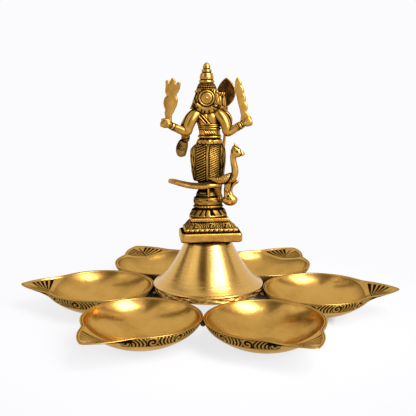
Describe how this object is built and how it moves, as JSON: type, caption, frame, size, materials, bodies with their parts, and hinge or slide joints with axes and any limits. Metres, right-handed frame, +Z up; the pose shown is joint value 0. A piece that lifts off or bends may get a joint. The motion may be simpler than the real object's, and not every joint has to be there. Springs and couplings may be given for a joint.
{
  "type": "six-wick oil lamp",
  "caption": "Brass oil lamp: a ring of dishes with pinched wick lips, brazed around a hollow bell that carries a many-armed standing figure with a peacock on a bolted plinth.",
  "frame": {"origin": "on the lamp's upright axis, on the surface that the six dishes stand on", "axes": "+Z up, +X along the wick lip of dish_1, the figure faces +Y and shows its back to -Y"},
  "size_m": [0.314, 0.272, 0.2043],
  "materials": {
    "turned_brass": "turned and brushed, satin",
    "dish_brass": "cast, turned inside, satin, dark patina in the carved rim",
    "cast_brass": "cast and chased, polished on the high places, dark patina in the low ones",
    "braze": "as flowed, dull",
    "bolt_brass": "machined, dull"
  },
  "bodies": {
    "lamp_base": {"hub_bell": "turned_brass", "dish_1": "dish_brass", "dish_2": "dish_brass", "dish_3": "dish_brass", "dish_4": "dish_brass", "dish_5": "dish_brass", "dish_6": "dish_brass", "hub_braze_1": "braze", "hub_braze_2": "braze", "hub_braze_3": "braze", "hub_braze_4": "braze", "hub_braze_5": "braze", "hub_braze_6": "braze", "rim_braze_1": "braze", "rim_braze_2": "braze", "rim_braze_3": "braze", "rim_braze_4": "braze", "rim_braze_5": "braze", "rim_braze_6": "braze"},
    "statue": {"fixing_bolt": "bolt_brass", "bolt_washer": "bolt_brass", "plinth": "cast_brass", "lotus_seat": "cast_brass", "figure_body": "cast_brass", "head": "cast_brass", "head_disc": "cast_brass", "crown": "cast_brass", "rear_arm_left": "cast_brass", "rear_arm_right": "cast_brass", "front_arm_left": "cast_brass", "front_arm_right": "cast_brass", "thunderbolt": "cast_brass", "flame_blade": "cast_brass", "spear": "cast_brass", "peacock": "cast_brass", "peacock_tail": "cast_brass", "tail_strut": "cast_brass", "peacock_leg": "cast_brass", "snake": "cast_brass"}
  },
  "joints": [
    {"name": "figure_turn", "type": "hinge", "parent": "lamp_base", "child": "statue", "pos_m": [0, 0, 0.0615], "axis": [0, 0, 1], "continuous": true}
  ]
}
